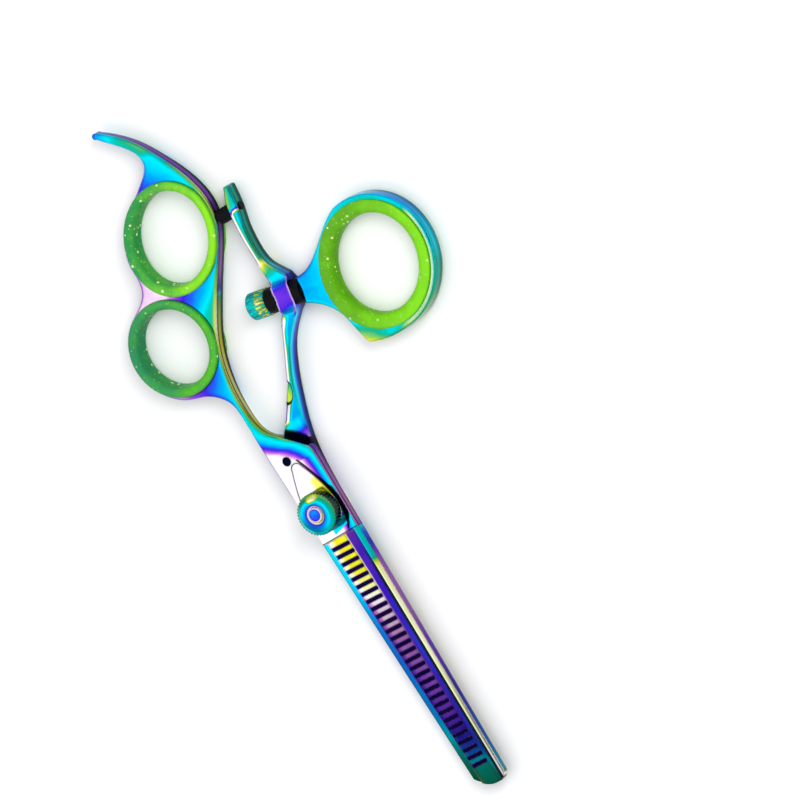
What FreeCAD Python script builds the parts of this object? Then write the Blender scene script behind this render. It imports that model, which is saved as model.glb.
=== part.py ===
"""Thinning shears with a swivel thumb ring, two finger rings and a fixed tang.

Millimetres. +X runs along the closed blades to their tips, +Y is the thumb side and
+Z is up. Everything is drawn with z = 0 at the plane where the two blades meet, on the
pivot axis, and is raised at the end so that the shears rest on z = 0.
"""
import FreeCAD, Part
import math
import os

os.makedirs("parts", exist_ok=True)

Vec = FreeCAD.Vector
UP = Vec(0, 0, 1)

# ---- driving dimensions -------------------------------------------------------------
REST_DROP = 3.2            # blade contact plane above the surface the shears rest on
RIDE_GAP = 0.06            # each half is held this far off the contact plane
HUB_T = 2.5                # thickness of each half at the pivot

BLADE_START = 6.8          # end of the hub, start of the ground blade
BLADE_TIP = 71.3           # tip of the toothed blade
SPINE_Y = 5.5              # spine of the toothed blade
TEETH = 30
TOOTH_PITCH = 1.96
TOOTH_GAP = 0.86
FIRST_GAP = 8.9            # centre of the first gap between teeth
TOOTH_LEAN = 2.0           # degrees that the teeth lean back from square
ROOT_NEAR = 0.4            # root line of the teeth at the hub
ROOT_FAR = 2.5             # root line of the teeth at the tip

FINGER_MID = -0.35         # mid-plane of the finger rings
FINGER_HALF = 1.75         # half the thickness of their metal
TANG_LOW = -0.9            # the tang thins towards its tip, mostly from below
THUMB_MID = -0.05          # mid-plane of the thumb handle, height of the swivel axis
THUMB_HALF = 1.9

LARGE_C = Vec(-68.85, 0.9, 0)      # large finger ring, an oval leaning back
LARGE_HOLE = (11.1, 9.3)           # semi-axes of the opening in its insert
SMALL_C = Vec(-47.7, -13.1, 0)     # small finger ring, round
SMALL_HOLE = (8.95, 8.95)
THUMB_C = Vec(-41.0, 43.5, 0)      # thumb ring, slightly oval
THUMB_HOLE = (11.5, 10.4)
THUMB_OUTER = (16.1, 15.0)
LEAN = 135.0                       # long axis of the oval rings

FINGER_WALL = 1.3          # soft wall between the opening and the metal
FINGER_FLANGE = 2.3        # soft ring's whole width on the face
FINGER_PROUD = 1.1         # soft ring above the metal
THUMB_WALL = 1.4
THUMB_FLANGE = 3.35
THUMB_PROUD = 0.7
SEAT_GAP = 0.02            # room round each part that is set into the metal

PIVOT_R = 1.9              # pivot screw shank
PIVOT_FIT = 0.05           # radial running clearance
BUSH_R = 2.7               # bush pressed into the toothed half
PIVOT_HEAD_R = 3.8         # low head under the plain half
PIVOT_END_R = 1.75         # end of the screw, seen in the knob
HEAD_EASE = 0.3            # rounding of the pivot head's lower rim
RIDE_R = 4.6               # washer between the halves, in a shallow seat in each
RIDE_T = 0.5
LEAF_T = 0.7
LEAF_FLOOR = 1.9           # floor of the recess that holds the leaf
LEAF_TURN = 3.0            # the leaf points slightly to the belly side
LEAF_ROOM = 0.15           # gap round the leaf in its recess
LEAF_PIN = Vec(-13.4, -1.9, 0)
LEAF_PIN_R = 1.05
LEAF_PIN_DEPTH = 1.2       # pin below the floor of the recess
LEAF_PIN_PROUD = 0.3       # pin above it
KNOB_WASHER_T = 0.45
KNOB_R = 4.85
KNOB_T = 3.6
KNURL_DEPTH = 0.22

SWIVEL_DIR = Vec(0.163, 0.9866, 0)
SWIVEL_R = 1.3             # shank of the swivel screw
SWIVEL_FIT = 0.05
BUSH_SLEEVE_R = 1.9        # sleeve of each swivel bush, inside the boss
BUSH_FLANGE_R = 2.95
RING_BUSH_T = 2.0          # flange between boss and thumb ring
SCREW_BUSH_T = 2.7         # flange between boss and screw head
BOSS_L = 4.65              # boss length along the swivel axis
BOSS_HALF = 2.75           # half its thickness
NECK_TO_C = 20.3           # ring centre to the face of its neck
SCREW_HEAD_R = 3.15
SCREW_HEAD_T = 4.9
SCREW_GRIP = 4.5           # length of the screw held in the ring's neck
END_GAP = 0.05             # play at the pivot head and at each face of the swivel bushes

SCALLOP_AT = Vec(-26.55, 6.6, 0)   # shallow bite in the edge of the thumb shank's face
SCALLOP = (2.7, 1.55)              # its semi-axes
SCALLOP_LEAN = 145.0
SCALLOP_FLOOR = 0.9

SILENCER_AT = Vec(-67.3, 0, 0)
SILENCER_R = 1.75
SILENCER_HOLE_R = 0.9
SILENCER_FRONT = 14.1      # y of the face that meets the large finger ring
SILENCER_BACK = 17.45      # y where the head ends against the tail
STEM_FRONT = 16.6
STEM_BACK = 20.45

EDGE_BEVEL = 0.35          # bevel round both faces of the handles
LONG_RIM = 60.0            # the toothed half is bevelled only along rims longer than this
CROSS_LOW = (-19.4, -1.1)  # the toothed half's slanting edge over the thumb shank
CROSS_HIGH = (-14.4, 4.75)


# ---- small helpers ------------------------------------------------------------------
def points(pairs, z=0.0):
    """Plan points at one height."""
    return [Vec(x, y, z) for x, y in pairs]


def curve(pairs, z=0.0):
    """Smooth edge through plan points."""
    spline = Part.BSplineCurve()
    spline.interpolate(points(pairs, z))
    return spline.toShape()


def line(a, b, z=0.0):
    """Straight edge between two plan points."""
    return Part.makeLine(Vec(a[0], a[1], z), Vec(b[0], b[1], z))


def plate(edges, low, high):
    """Solid between two heights from a closed run of plan edges."""
    face = Part.Face(Part.Wire(edges))
    face.translate(Vec(0, 0, low))
    return face.extrude(Vec(0, 0, high - low))


def side_line(a, b):
    """Straight edge between two (x, z) points."""
    return Part.makeLine(Vec(a[0], 0, a[1]), Vec(b[0], 0, b[1]))


def oval_prism(centre, semi, lean, low, high):
    """Oval or round cylinder between two heights."""
    if semi[0] > semi[1]:
        edge = Part.Ellipse(Vec(0, 0, 0), semi[0], semi[1]).toShape()
    else:
        edge = Part.makeCircle(semi[0])
    face = Part.Face(Part.Wire([edge]))
    face.rotate(Vec(0, 0, 0), UP, lean)
    face.translate(Vec(centre.x, centre.y, low))
    return face.extrude(Vec(0, 0, high - low))


def oval_point(centre, semi, lean, angle):
    """Plan point on an oval, at an angle seen from its centre line up from +X."""
    turn = math.radians(angle - lean)
    along = semi[0] * math.cos(turn)
    across = semi[1] * math.sin(turn)
    tilt = math.radians(lean)
    return (centre.x + along * math.cos(tilt) - across * math.sin(tilt),
            centre.y + along * math.sin(tilt) + across * math.cos(tilt))


def grown(semi, by):
    """Semi-axes of an oval widened all round."""
    return (semi[0] + by, semi[1] + by)


def rod(radius, low, high, at=Vec(0, 0, 0)):
    """Upright cylinder between two heights."""
    return Part.makeCylinder(radius, high - low, Vec(at.x, at.y, low), UP)


def swivel_point(distance):
    """Point on the swivel axis, measured from the ring centre back to the screw head."""
    centre = Vec(THUMB_C.x, THUMB_C.y, THUMB_MID)
    return centre - SWIVEL_DIR * distance


def swivel_rod(radius, start, end):
    """Cylinder on the swivel axis between two distances from the ring centre."""
    return Part.makeCylinder(radius, end - start, swivel_point(start), SWIVEL_DIR * -1)


def rounded(shape, radius, chosen):
    """Round the edges that the test picks out."""
    return shape.makeFillet(radius, [edge for edge in shape.Edges if chosen(edge)])


def bevelled(shape, chosen=lambda box: True):
    """Bevel the rims of both faces of a forging, but not its upright edges or hub end."""
    rims = []
    for edge in shape.Edges:
        box = edge.BoundBox
        upright = box.XLength < 0.001 and box.YLength < 0.001
        at_hub_end = box.XMin > BLADE_START - 0.01
        if chosen(box) and not (upright or at_hub_end):
            rims.append(edge)
    return shape.makeChamfer(EDGE_BEVEL, rims)


def at_height(edge, heights, tolerance=0.02):
    """True where an edge lies wholly at one of the heights."""
    box = edge.BoundBox
    return any(abs(box.ZMin - z) < tolerance and abs(box.ZMax - z) < tolerance for z in heights)


def knurled(radius, length, depth, count):
    """Cylinder from z = 0 up, with straight grooves round its side."""
    body = Part.makeCylinder(radius, length)
    body = body.makeChamfer(depth * 1.4, [e for e in body.Edges if at_height(e, [0, length])])
    groove = Part.makeBox(depth * 2, depth * 2, length + 2)
    groove.translate(Vec(-depth, -depth, -1))
    groove.rotate(Vec(0, 0, 0), UP, 45)
    groove.translate(Vec(radius + depth * 0.35, 0, 0))
    cuts = []
    for index in range(count):
        cut = groove.copy()
        cut.rotate(Vec(0, 0, 0), UP, 360.0 * index / count)
        cuts.append(cut)
    return body.cut(Part.makeCompound(cuts))


# ---- the two forged halves ----------------------------------------------------------
def toothed_outline():
    """Plan outline of the toothed half, from the tang round to the end of the hub."""
    back = curve([(-97.4, -2.2), (-94.1, 2.3), (-90.6, 5.7), (-85.9, 8.8), (-81.3, 11.4),
                  (-76.6, 13.3), (-71.8, 14.15), (-67.5, 13.5), (-62.5, 10.8), (-56.3, 6.1),
                  (-50.0, 1.5), (-44.4, -2.0), (-38.5, -4.2), (-32.6, -5.0), (-26.8, -4.75),
                  (-22.8, -3.9), CROSS_LOW])
    cross = line(CROSS_LOW, CROSS_HIGH)
    corner = curve([CROSS_HIGH, (-13.6, 5.3), (-12.6, SPINE_Y)])
    spine = line((-12.6, SPINE_Y), (BLADE_START, SPINE_Y))
    end = line((BLADE_START, SPINE_Y), (BLADE_START, -5.1))
    belly = curve([(BLADE_START, -5.1), (0.0, -5.4), (-10.0, -5.8), (-20.0, -6.2), (-27.0, -6.5),
                   (-30.3, -7.1), (-33.0, -9.2), (-35.0, -12.5), (-36.1, -16.3), (-38.7, -20.5),
                   (-42.7, -23.5), (-47.7, -24.75), (-52.6, -23.7), (-56.5, -20.7), (-59.2, -16.2),
                   (-61.6, -13.3), (-64.4, -12.35), (-68.0, -12.35), (-71.8, -11.4), (-75.2, -9.4),
                   (-78.4, -5.9), (-80.9, -1.7), (-82.6, 0.9), (-84.2, 3.1), (-86.2, 4.4),
                   (-88.4, 4.2), (-91.0, 2.4), (-94.0, -0.7), (-96.2, -3.0)])
    tang_tip = Part.Arc(Vec(-96.2, -3.0, 0), Vec(-97.35, -3.25, 0), Vec(-97.4, -2.2, 0)).toShape()
    return [back, cross, corner, spine, end, belly, tang_tip]


def side_curve(pairs):
    """Smooth edge through (x, z) points."""
    spline = Part.BSplineCurve()
    spline.interpolate([Vec(x, 0, z) for x, z in pairs])
    return spline.toShape()


def toothed_side():
    """Side shape of the toothed half: full over the pivot, dropping to the ring plane."""
    low = FINGER_MID - FINGER_HALF
    high = FINGER_MID + FINGER_HALF
    under = [(-110, TANG_LOW), (-98, TANG_LOW + 0.05), (-88, low + 0.5), (-78, low), (-60, low),
             (-46, low), (-36, low + 0.55), (-28, RIDE_GAP - 0.6), (-20, RIDE_GAP)]
    over = [(BLADE_START + 1, HUB_T), (-8, HUB_T), (-20, HUB_T - 0.02), (-30, HUB_T - 0.45),
            (-42, high + 0.1), (-54, high), (-80, high), (-110, high)]
    edges = [side_curve(under), side_line((-20, RIDE_GAP), (BLADE_START + 1, RIDE_GAP)),
             side_line((BLADE_START + 1, RIDE_GAP), (BLADE_START + 1, HUB_T)),
             side_curve(over), side_line((-110, high), (-110, TANG_LOW))]
    face = Part.Face(Part.Wire(edges))
    face.translate(Vec(0, -60, 0))
    return face.extrude(Vec(0, 120, 0))


def blade_section(x, pairs):
    """Closed blade section across the blade, from (y, z) pairs."""
    corners = [Vec(x, y, z) for y, z in pairs]
    return Part.makePolygon(corners + corners[:1])


def comb_blade():
    """Toothed blade: thick spine, ground hollow and comb teeth thinning to their tips."""
    def section(x, thick, ridge, root, tip):
        return blade_section(x, [(SPINE_Y, RIDE_GAP), (SPINE_Y, thick - 0.45), (ridge + 0.35, thick),
                                 (ridge - 0.35, thick), (ridge - 0.75, thick - 0.6),
                                 (root + 0.9, thick * 0.6), (root, thick * 0.5),
                                 (tip + 0.5, 0.62), (tip, 0.45), (tip, RIDE_GAP)])
    near = section(BLADE_START, 2.4, 4.25, ROOT_NEAR, -5.0)
    far = section(BLADE_TIP, 1.8, 4.8, ROOT_FAR, -1.7)
    blade = Part.makeLoft([near, far], True, True)
    tip_shape = plate([line((0, SPINE_Y), (BLADE_TIP - 1.7, SPINE_Y)),
                       curve([(BLADE_TIP - 1.7, SPINE_Y), (BLADE_TIP - 0.5, 4.75), (BLADE_TIP, 3.0)]),
                       curve([(BLADE_TIP, 3.0), (BLADE_TIP - 0.2, 0.6), (BLADE_TIP - 1.3, -1.6)]),
                       line((BLADE_TIP - 1.3, -1.6), (BLADE_TIP - 2.4, -10)),
                       line((BLADE_TIP - 2.4, -10), (0, -10)), line((0, -10), (0, SPINE_Y))],
                      -1, 5)
    return blade.common(tip_shape).cut(comb_gaps())


def comb_gaps():
    """The round-ended slots between the teeth."""
    gaps = []
    for index in range(TEETH):
        x = FIRST_GAP + TOOTH_PITCH * index
        along = (x - BLADE_START) / (BLADE_TIP - BLADE_START)
        root = ROOT_NEAR + (ROOT_FAR - ROOT_NEAR) * along
        slot = Part.makeBox(TOOTH_GAP, 20, 6, Vec(-TOOTH_GAP / 2, -20, -2))
        slot = slot.fuse(Part.makeCylinder(TOOTH_GAP / 2, 6, Vec(0, 0, -2)))
        slot.rotate(Vec(0, 0, 0), UP, -TOOTH_LEAN)
        slot.translate(Vec(x, root, 0))
        gaps.append(slot)
    return Part.makeCompound(gaps)


def leaf_outline(grow):
    """Teardrop plan of the tension leaf: round at the pivot, narrowing to a blunt tip."""
    side = [(0.0, 4.45), (-4.0, 3.85), (-8.0, 2.6), (-11.0, 1.35)]
    near_side = [(x, y + grow) for x, y in side]
    far_side = [(x, -y) for x, y in reversed(near_side)]
    nose = near_side[0]
    head = Part.Arc(Vec(0, -nose[1], 0), Vec(nose[1], 0, 0), Vec(0, nose[1], 0)).toShape()
    tip = Part.Arc(Vec(-11.0, near_side[-1][1], 0), Vec(-12.15 - grow, 0, 0),
                   Vec(-11.0, -near_side[-1][1], 0)).toShape()
    return [curve(near_side), tip, curve(far_side), head]


def turned_leaf(grow, low, high):
    """Leaf-shaped plate turned to its place on the hub."""
    shape = plate(leaf_outline(grow), low, high)
    shape.rotate(Vec(0, 0, 0), UP, LEAF_TURN)
    return shape


def toothed_half():
    """Toothed blade, hub, shank, two finger rings and tang in one forging."""
    body = plate(toothed_outline(), -4, 4).common(toothed_side())
    body = bevelled(body, lambda box: box.XLength > LONG_RIM)
    for centre, hole, lean in ((LARGE_C, LARGE_HOLE, LEAN), (SMALL_C, SMALL_HOLE, 0)):
        body = body.cut(oval_prism(centre, grown(hole, FINGER_WALL), lean, -6, 6))
        seat = grown(hole, FINGER_FLANGE + SEAT_GAP)
        body = body.cut(oval_prism(centre, seat, lean, FINGER_MID + FINGER_HALF, 6))
        body = body.cut(oval_prism(centre, seat, lean, -6, FINGER_MID - FINGER_HALF))
    body = body.fuse(comb_blade()).removeSplitter()
    body = body.cut(turned_leaf(LEAF_ROOM, LEAF_FLOOR, 5))
    body = body.cut(rod(BUSH_R, -1, 5))
    body = body.cut(rod(RIDE_R + SEAT_GAP, -1, RIDE_T / 2))
    return body.cut(rod(LEAF_PIN_R, LEAF_FLOOR - LEAF_PIN_DEPTH, 5, LEAF_PIN))


def plain_outline():
    """Plan outline of the plain half, from its tail round the boss to the hub."""
    back = curve([(-72.1, 20.75), (-69.6, 20.5), (-66.5, 20.0), (-63.0, 19.1), (-59.5, 18.7),
                  (-55.8, 18.7), (-53.3, 19.3), (-51.2, 20.6), (-49.1, 22.2)])
    face_high = line((-49.1, 22.2), (-42.1, 21.04))
    neck = curve([(-42.1, 21.04), (-40.4, 19.2), (-38.3, 16.7), (-35.0, 13.7), (-31.5, 11.5),
                  (-28.0, 9.7), (-24.0, 8.0), (-20.0, 6.5), (-15.0, 5.1), (-10.0, 4.4),
                  (-3.0, 4.1), (BLADE_START, 3.0)])
    end = line((BLADE_START, 3.0), (BLADE_START, -6.4))
    hub = curve([(BLADE_START, -6.4), (0.0, -6.5), (-8.0, -6.5), (-12.5, -5.9), (-16.0, -3.6),
                 (-19.6, -0.1), (-23.8, 4.1), (-26.5, 6.4), (-28.8, 8.2), (-31.5, 9.7),
                 (-35.0, 11.7), (-38.3, 13.5), (-40.6, 14.8), (-42.35, 16.45)])
    face_low = line((-42.35, 16.45), (-48.65, 17.5))
    front = curve([(-48.65, 17.5), (-51.0, 17.2), (-55.0, 17.05), (-60.0, 16.95), (-65.6, 17.3),
                   (-69.0, 17.9), (-71.7, 19.2)])
    tail = Part.Arc(Vec(-71.7, 19.2, 0), Vec(-72.6, 20.2, 0), Vec(-72.1, 20.75, 0)).toShape()
    return [back, face_high, neck, end, hub, face_low, front, tail]


def plain_side():
    """Side shape of the plain half: under the contact plane at the hub, full at the handle.

    It is swept along the slanting edge of the toothed half, so that the rise of the
    shank starts just beyond that edge.
    """
    run = Vec(CROSS_HIGH[0] - CROSS_LOW[0], CROSS_HIGH[1] - CROSS_LOW[1], 0).normalize()
    low = THUMB_MID - THUMB_HALF
    high = THUMB_MID + THUMB_HALF
    start = CROSS_LOW[0] - CROSS_LOW[1] * run.x / run.y - 0.5
    under = [(-160, low), (-80, low), (-62, low), (-50, low - 0.1), (-40, -HUB_T + 0.15),
             (-30, -HUB_T), (0, -HUB_T), (60, -HUB_T)]
    over = [(start, -RIDE_GAP), (start - 5, 0.45), (start - 12, high - 0.3), (start - 20, high),
            (-60, high), (-90, high), (-160, high)]
    edges = [side_curve(under), side_line((60, -HUB_T), (60, -RIDE_GAP)),
             side_line((60, -RIDE_GAP), (start, -RIDE_GAP)), side_curve(over),
             side_line((-160, high), (-160, low))]
    face = Part.Face(Part.Wire(edges))
    face.translate(run * -60)
    return face.extrude(run * 150)


def plain_blade():
    """Plain blade: spine on the belly side, ground down to a straight cutting edge."""
    def section(x, thick, spine, edge):
        return blade_section(x, [(spine, -RIDE_GAP), (spine, 0.4 - thick), (spine + 0.45, -thick),
                                 (spine + 1.4, -thick), (edge - 2.0, -0.55 * thick),
                                 (edge - 0.25, -0.35), (edge, -0.2), (edge, -RIDE_GAP)])
    near = section(BLADE_START, HUB_T - 0.05, -6.38, 2.9)
    far = section(BLADE_TIP, 1.7, -3.35, 3.4)
    blade = Part.makeLoft([near, far], True, True)
    tip_shape = plate([line((0, 10), (BLADE_TIP - 1.2, 10)),
                       line((BLADE_TIP - 1.2, 10), (BLADE_TIP - 0.7, 1.0)),
                       curve([(BLADE_TIP - 0.7, 1.0), (BLADE_TIP - 1.4, -1.5), (BLADE_TIP - 3.2, -3.6)]),
                       line((BLADE_TIP - 3.2, -3.6), (BLADE_TIP - 4.0, -10)),
                       line((BLADE_TIP - 4.0, -10), (0, -10)), line((0, -10), (0, 10))],
                      -5, 1)
    return blade.common(tip_shape)


def swivel_boss():
    """Thicker, faceted stretch of the plain half that the swivel screw passes through."""
    across = Vec(SWIVEL_DIR.y, -SWIVEL_DIR.x, 0)
    start = swivel_point(NECK_TO_C + RING_BUSH_T)
    facets = [(-5.4, 0.8), (-2.7, BOSS_HALF), (2.7, BOSS_HALF), (5.4, 0.8),
              (5.4, -0.8), (2.7, -BOSS_HALF), (-2.7, -BOSS_HALF), (-5.4, -0.8)]
    corners = [start + across * u + UP * z for u, z in facets]
    face = Part.Face(Part.makePolygon(corners + corners[:1]))
    block = face.extrude(SWIVEL_DIR * -BOSS_L)
    return block.common(plate(plain_outline(), -4, 4))


def plain_half():
    """Plain blade, hub, shank, swivel boss and tail in one forging."""
    body = bevelled(plate(plain_outline(), -4, 4).common(plain_side()))
    body = body.fuse(swivel_boss())
    body = body.fuse(plain_blade()).removeSplitter()
    body = body.cut(rod(PIVOT_R + PIVOT_FIT, -5, 1))
    body = body.cut(rod(RIDE_R + SEAT_GAP, -RIDE_T / 2, 1))
    body = body.cut(swivel_rod(BUSH_SLEEVE_R, NECK_TO_C, NECK_TO_C + 12))
    body = body.cut(oval_prism(SCALLOP_AT, SCALLOP, SCALLOP_LEAN, SCALLOP_FLOOR, 6))
    return body.cut(silencer_stem())


# ---- pivot group --------------------------------------------------------------------
def pivot_screw():
    """Low flat head underneath, plain shank and the round end that carries the knob."""
    top = LEAF_FLOOR + LEAF_T + KNOB_WASHER_T + KNOB_T + 0.1
    head = rod(PIVOT_HEAD_R, -REST_DROP, -HUB_T - END_GAP)
    head = rounded(head, HEAD_EASE, lambda edge: at_height(edge, [-REST_DROP]))
    shank = rod(PIVOT_R, -HUB_T - END_GAP, LEAF_FLOOR + LEAF_T + KNOB_WASHER_T)
    end = rod(PIVOT_END_R, LEAF_FLOOR + LEAF_T + KNOB_WASHER_T, top)
    end = rounded(end, 0.25, lambda edge: at_height(edge, [top]))
    return head.fuse([shank, end]).removeSplitter()


def pivot_bush():
    """Plain bush pressed into the toothed half."""
    return rod(BUSH_R, RIDE_T / 2, LEAF_FLOOR).cut(rod(PIVOT_R + PIVOT_FIT, -1, 5))


def ride_washer():
    """Thin washer in the shallow seats of both halves."""
    return rod(RIDE_R, -RIDE_T / 2, RIDE_T / 2).cut(rod(PIVOT_R + PIVOT_FIT, -1, 1))


def tension_leaf():
    """Sprung leaf in its recess, under the knob."""
    leaf = turned_leaf(0, LEAF_FLOOR, LEAF_FLOOR + LEAF_T)
    leaf = rounded(leaf, 0.2, lambda edge: at_height(edge, [LEAF_FLOOR + LEAF_T]))
    leaf = leaf.cut(rod(LEAF_PIN_R, 0, 5, LEAF_PIN))
    return leaf.cut(rod(PIVOT_R + PIVOT_FIT, 0, 5))


def leaf_pin():
    """Pin that keeps the tip of the leaf from turning."""
    top = LEAF_FLOOR + LEAF_PIN_PROUD
    pin = rod(LEAF_PIN_R - SEAT_GAP, LEAF_FLOOR - LEAF_PIN_DEPTH, top, LEAF_PIN)
    return rounded(pin, 0.2, lambda edge: at_height(edge, [top]))


def knob_washer():
    """Flat washer between the leaf and the knob."""
    low = LEAF_FLOOR + LEAF_T
    return rod(3.9, low, low + KNOB_WASHER_T).cut(rod(PIVOT_R + PIVOT_FIT, 0, 6))


def tension_knob():
    """Round knob with a knurled side, a crowned rim and a dished face round the screw."""
    low = LEAF_FLOOR + LEAF_T + KNOB_WASHER_T
    knob = knurled(KNOB_R, KNOB_T, KNURL_DEPTH, 40)
    crown = Part.makeCone(KNOB_R - 0.1, KNOB_R - 1.2, 0.75, Vec(0, 0, KNOB_T - 0.75))
    cap = Part.makeCylinder(KNOB_R + 1, 2, Vec(0, 0, KNOB_T - 0.75)).cut(crown)
    knob = knob.cut(cap)
    dish = Part.makeCone(1.9, 2.7, 0.45, Vec(0, 0, KNOB_T - 0.4))
    knob = knob.cut(dish).cut(rod(PIVOT_END_R + PIVOT_FIT, -1, KNOB_T + 1))
    knob.translate(Vec(0, 0, low))
    return knob


# ---- soft ring inserts --------------------------------------------------------------
def soft_ring(centre, hole, lean, wall, flange, middle, half, proud):
    """Soft ring that lines a handle ring and folds over both of its faces."""
    low = middle - half - proud
    high = middle + half + proud
    body = oval_prism(centre, grown(hole, flange), lean, low, high)
    body = body.cut(oval_prism(centre, hole, lean, low - 1, high + 1))
    rims = sorted([e for e in body.Edges if at_height(e, [low, high])], key=lambda e: e.Length)
    body = body.makeFillet(flange * 0.6, rims[:2])
    rims = sorted([e for e in body.Edges if at_height(e, [low, high])], key=lambda e: e.Length)
    body = body.makeFillet(min(proud * 0.85, flange * 0.33), rims[-2:])
    groove = oval_prism(centre, grown(hole, flange + 2), lean, middle - half, middle + half)
    groove = groove.cut(oval_prism(centre, grown(hole, wall), lean, middle - half, middle + half))
    return body.cut(groove)


def finger_insert_large():
    return soft_ring(LARGE_C, LARGE_HOLE, LEAN, FINGER_WALL, FINGER_FLANGE,
                     FINGER_MID, FINGER_HALF, FINGER_PROUD)


def finger_insert_small():
    return soft_ring(SMALL_C, SMALL_HOLE, 0, FINGER_WALL, FINGER_FLANGE,
                     FINGER_MID, FINGER_HALF, FINGER_PROUD)


def thumb_insert():
    return soft_ring(THUMB_C, THUMB_HOLE, LEAN, THUMB_WALL, THUMB_FLANGE,
                     THUMB_MID, THUMB_HALF, THUMB_PROUD)


# ---- thumb ring and its swivel ------------------------------------------------------
def thumb_ring():
    """Round ring with a tapering neck on the swivel side and a pointed spur."""
    across = Vec(SWIVEL_DIR.y, -SWIVEL_DIR.x, 0)
    base = swivel_point(NECK_TO_C)
    left = base - across * 3.1
    right = base + across * 3.1
    rim = [oval_point(THUMB_C, THUMB_OUTER, LEAN, angle) for angle in range(190, -1, -19)]
    dome = curve(rim)
    heel = curve([rim[-1], (-25.35, 38.6), (-26.7, 32.0)])
    spur = curve([(-26.7, 32.0), (-31.5, 30.55), (-36.3, 28.9), (-39.3, 26.2), (right.x, right.y)])
    foot = line((right.x, right.y), (left.x, left.y))
    flank = curve([(left.x, left.y), (-48.1, 28.3), (-49.9, 31.4), (-52.7, 35.2), rim[0]])
    ring = plate([dome, heel, spur, foot, flank], THUMB_MID - THUMB_HALF, THUMB_MID + THUMB_HALF)
    ring = bevelled(ring)
    ring = ring.cut(oval_prism(THUMB_C, grown(THUMB_HOLE, THUMB_WALL), LEAN, -6, 6))
    return ring.cut(swivel_rod(SWIVEL_R - SEAT_GAP, NECK_TO_C - SCREW_GRIP, NECK_TO_C + 1))


def swivel_screw():
    """Knurled slotted head and the shank that runs through the boss into the ring."""
    head_start = NECK_TO_C + RING_BUSH_T + BOSS_L + SCREW_BUSH_T
    head = knurled(SCREW_HEAD_R, SCREW_HEAD_T, 0.2, 28)
    slot = Part.makeBox(8, 0.9, 1.6, Vec(-4, -0.45, SCREW_HEAD_T - 1.3))
    head = head.cut(slot)
    head.rotate(Vec(0, 0, 0), Vec(0, 0, 1), 20)
    head.Placement = FreeCAD.Placement(swivel_point(head_start), FreeCAD.Rotation(UP, SWIVEL_DIR * -1))
    shank = swivel_rod(SWIVEL_R - SEAT_GAP, NECK_TO_C - SCREW_GRIP, NECK_TO_C)
    bearing = swivel_rod(SWIVEL_R, NECK_TO_C, head_start)
    return head.fuse([shank, bearing]).removeSplitter()


def swivel_bush_ring_side():
    """Flanged bush between the boss and the thumb ring."""
    middle = NECK_TO_C + RING_BUSH_T + BOSS_L / 2
    flange = swivel_rod(BUSH_FLANGE_R, NECK_TO_C + END_GAP, NECK_TO_C + RING_BUSH_T)
    sleeve = swivel_rod(BUSH_SLEEVE_R, NECK_TO_C + RING_BUSH_T, middle - END_GAP)
    return flange.fuse(sleeve).cut(swivel_rod(SWIVEL_R + SWIVEL_FIT, NECK_TO_C - 1, middle + 1))


def swivel_bush_screw_side():
    """Flanged bush between the boss and the screw head."""
    middle = NECK_TO_C + RING_BUSH_T + BOSS_L / 2
    start = NECK_TO_C + RING_BUSH_T + BOSS_L
    flange = swivel_rod(BUSH_FLANGE_R, start, start + SCREW_BUSH_T - END_GAP)
    sleeve = swivel_rod(BUSH_SLEEVE_R, middle + END_GAP, start)
    return flange.fuse(sleeve).cut(swivel_rod(SWIVEL_R + SWIVEL_FIT, middle - 1, start + 4))


# ---- silencer -----------------------------------------------------------------------
def silencer_rod(radius, start, end):
    """Cylinder along +Y between two y values, at the height of the thumb handle."""
    return Part.makeCylinder(radius, end - start, Vec(SILENCER_AT.x, start, THUMB_MID), Vec(0, 1, 0))


def silencer_stem():
    """Stem of the silencer, through the tail of the plain half."""
    return silencer_rod(SILENCER_HOLE_R, STEM_FRONT, STEM_BACK)


def silencer():
    """Rubber stop: a head that meets the finger ring and a stem held in the tail."""
    head = silencer_rod(SILENCER_R, SILENCER_FRONT, SILENCER_BACK)
    stem = silencer_stem()
    tail = plate(plain_outline(), -4, 4)
    return head.fuse(stem).cut(tail.cut(stem))


BUILDERS = {
    "toothed_half": toothed_half, "plain_half": plain_half,
    "pivot_screw": pivot_screw, "pivot_bush": pivot_bush, "ride_washer": ride_washer,
    "tension_leaf": tension_leaf, "leaf_pin": leaf_pin, "knob_washer": knob_washer,
    "tension_knob": tension_knob,
    "finger_insert_large": finger_insert_large, "finger_insert_small": finger_insert_small,
    "thumb_ring": thumb_ring, "thumb_insert": thumb_insert,
    "swivel_screw": swivel_screw, "swivel_bush_ring_side": swivel_bush_ring_side,
    "swivel_bush_screw_side": swivel_bush_screw_side, "silencer": silencer,
}

for name, builder in BUILDERS.items():
    shape = builder()
    shape.translate(Vec(0, 0, REST_DROP))
    shape.exportStep("parts/" + name + ".step")
    print(name, "solids", len(shape.Solids), "valid", shape.isValid(), "volume", round(shape.Volume, 2))
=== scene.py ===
"""Thinning shears in rainbow-coated steel, with soft glitter rings, on a pale floor.

Metres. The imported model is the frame: +X runs along the closed blades, +Y is the thumb
side, +Z is up and the shears rest on z = 0. Film colours are laid out in millimetres
from the pivot axis, because the coating changes along each piece.
"""

import bpy
from mathutils import Matrix, Vector


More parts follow.
